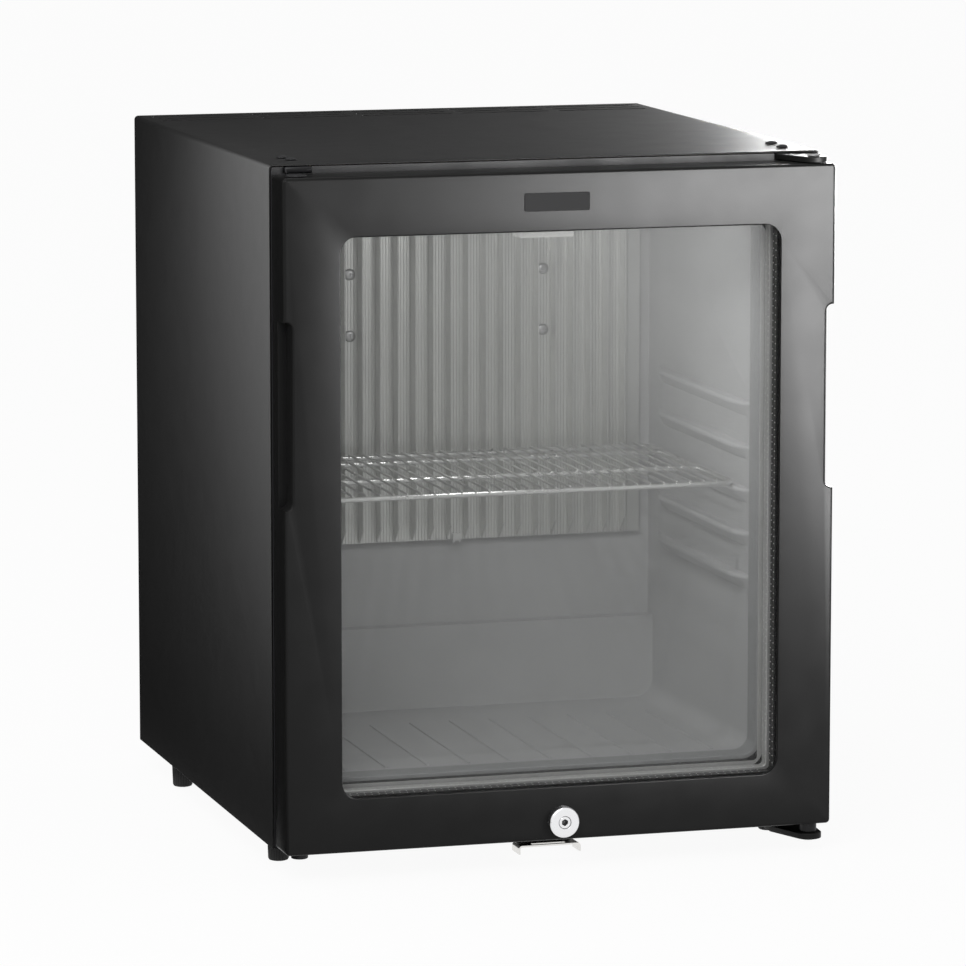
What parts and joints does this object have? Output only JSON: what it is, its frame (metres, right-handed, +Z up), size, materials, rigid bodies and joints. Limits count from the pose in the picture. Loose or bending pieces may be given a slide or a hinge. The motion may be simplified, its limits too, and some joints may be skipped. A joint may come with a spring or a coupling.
{
  "type": "minibar fridge",
  "caption": "Small black absorption fridge with a glazed side-hung door, finned cold plate, wire shelf, cam lock and screw feet.",
  "frame": {"origin": "on the floor under the middle of the fridge's bounding box", "axes": "+Z up, -Y towards the door, +X towards the hinge side"},
  "size_m": [0.402, 0.4576, 0.5023],
  "materials": {
    "painted_steel": "satin black powder coat",
    "frame_plastic": "satin black",
    "liner_plastic": "smooth pale grey",
    "foam": "rigid foam",
    "galvanised": "galvanised sheet",
    "evaporator_aluminium": "extruded, fine lengthwise lines",
    "tube_paint": "matt black paint",
    "zinc": "zinc plated",
    "keeper_steel": "bright plated",
    "black_plastic": "moulded black",
    "white_plastic": "white",
    "lamp_lens": "translucent white",
    "door_plastic": "fine textured black",
    "back_frame_plastic": "satin black",
    "glass": "clear",
    "outer_spacer": "dark, punched",
    "inner_spacer": "grey, punched",
    "seal_rubber": "black",
    "badge": "plain gloss black",
    "chrome": "polished",
    "shelf_wire": "white coated wire",
    "foot_rubber": "moulded black, fluted"
  },
  "bodies": {
    "cabinet": {"outer_shell": "painted_steel", "base_panel": "painted_steel", "upper_hinge_bracket": "painted_steel", "lower_hinge_bracket": "painted_steel", "front_frame": "frame_plastic", "inner_liner": "liner_plastic", "foam_insulation": "foam", "rear_panel": "galvanised", "lower_rail": "galvanised", "middle_rail": "galvanised", "upper_rail": "galvanised", "boiler_casing": "galvanised", "evaporator_plate": "evaporator_aluminium", "boiler_riser": "tube_paint", "condenser": "tube_paint", "absorber_vessel": "tube_paint", "absorber_coil": "tube_paint", "heat_exchanger": "tube_paint", "boiler_feed": "tube_paint", "evaporator_screw_1": "zinc", "evaporator_screw_2": "zinc", "evaporator_screw_3": "zinc", "evaporator_screw_4": "zinc", "upper_hinge_pin": "zinc", "lower_hinge_pin": "zinc", "heater_sleeve": "zinc", "lock_keeper": "keeper_steel", "control_box": "black_plastic", "power_inlet": "black_plastic", "upper_hinge_bolt_1": "black_plastic", "upper_hinge_bolt_2": "black_plastic", "blank_cap_1": "black_plastic", "blank_cap_2": "black_plastic", "hinge_slot_blank": "black_plastic", "lamp_housing": "white_plastic", "probe_clip": "white_plastic", "lamp_lens": "lamp_lens"},
    "door": {"door_front_frame": "door_plastic", "door_back_frame": "back_frame_plastic", "outer_glass": "glass", "middle_glass": "glass", "inner_glass": "glass", "outer_spacer": "outer_spacer", "inner_spacer": "inner_spacer", "door_seal": "seal_rubber", "lock_housing": "chrome", "lock_nut": "zinc", "door_bush_upper": "black_plastic", "door_bush_lower": "black_plastic", "door_plug_upper": "black_plastic", "door_plug_lower": "black_plastic", "badge_plate": "badge"},
    "lock": {"lock_plug": "chrome", "lock_cam": "zinc", "cam_screw": "zinc"},
    "shelf": {"wire_shelf": "shelf_wire"},
    "foot_front_left": {"foot_front_left": "foot_rubber"},
    "foot_front_right": {"foot_front_right": "foot_rubber"},
    "foot_rear_left": {"foot_rear_left": "foot_rubber"},
    "foot_rear_right": {"foot_rear_right": "foot_rubber"}
  },
  "joints": [
    {"name": "door_hinge", "type": "hinge", "parent": "cabinet", "child": "door", "pos_m": [0.188, -0.20925, 0.25], "axis": [0, 0, 1], "range_deg": [0, 110]},
    {"name": "lock_turn", "type": "hinge", "parent": "door", "child": "lock", "pos_m": [0, -0.22125, 0.0348], "axis": [0, 1, 0], "range_deg": [0, 90]},
    {"name": "shelf_slide", "type": "slide", "parent": "cabinet", "child": "shelf", "axis": [0, -1, 0], "range_m": [0, 0.035]},
    {"name": "foot_front_left_screw", "type": "slide", "parent": "cabinet", "child": "foot_front_left", "axis": [0, 0, 1], "range_m": [-0.008, 0]},
    {"name": "foot_front_right_screw", "type": "slide", "parent": "cabinet", "child": "foot_front_right", "axis": [0, 0, 1], "range_m": [-0.008, 0]},
    {"name": "foot_rear_left_screw", "type": "slide", "parent": "cabinet", "child": "foot_rear_left", "axis": [0, 0, 1], "range_m": [-0.008, 0]},
    {"name": "foot_rear_right_screw", "type": "slide", "parent": "cabinet", "child": "foot_rear_right", "axis": [0, 0, 1], "range_m": [-0.008, 0]}
  ]
}
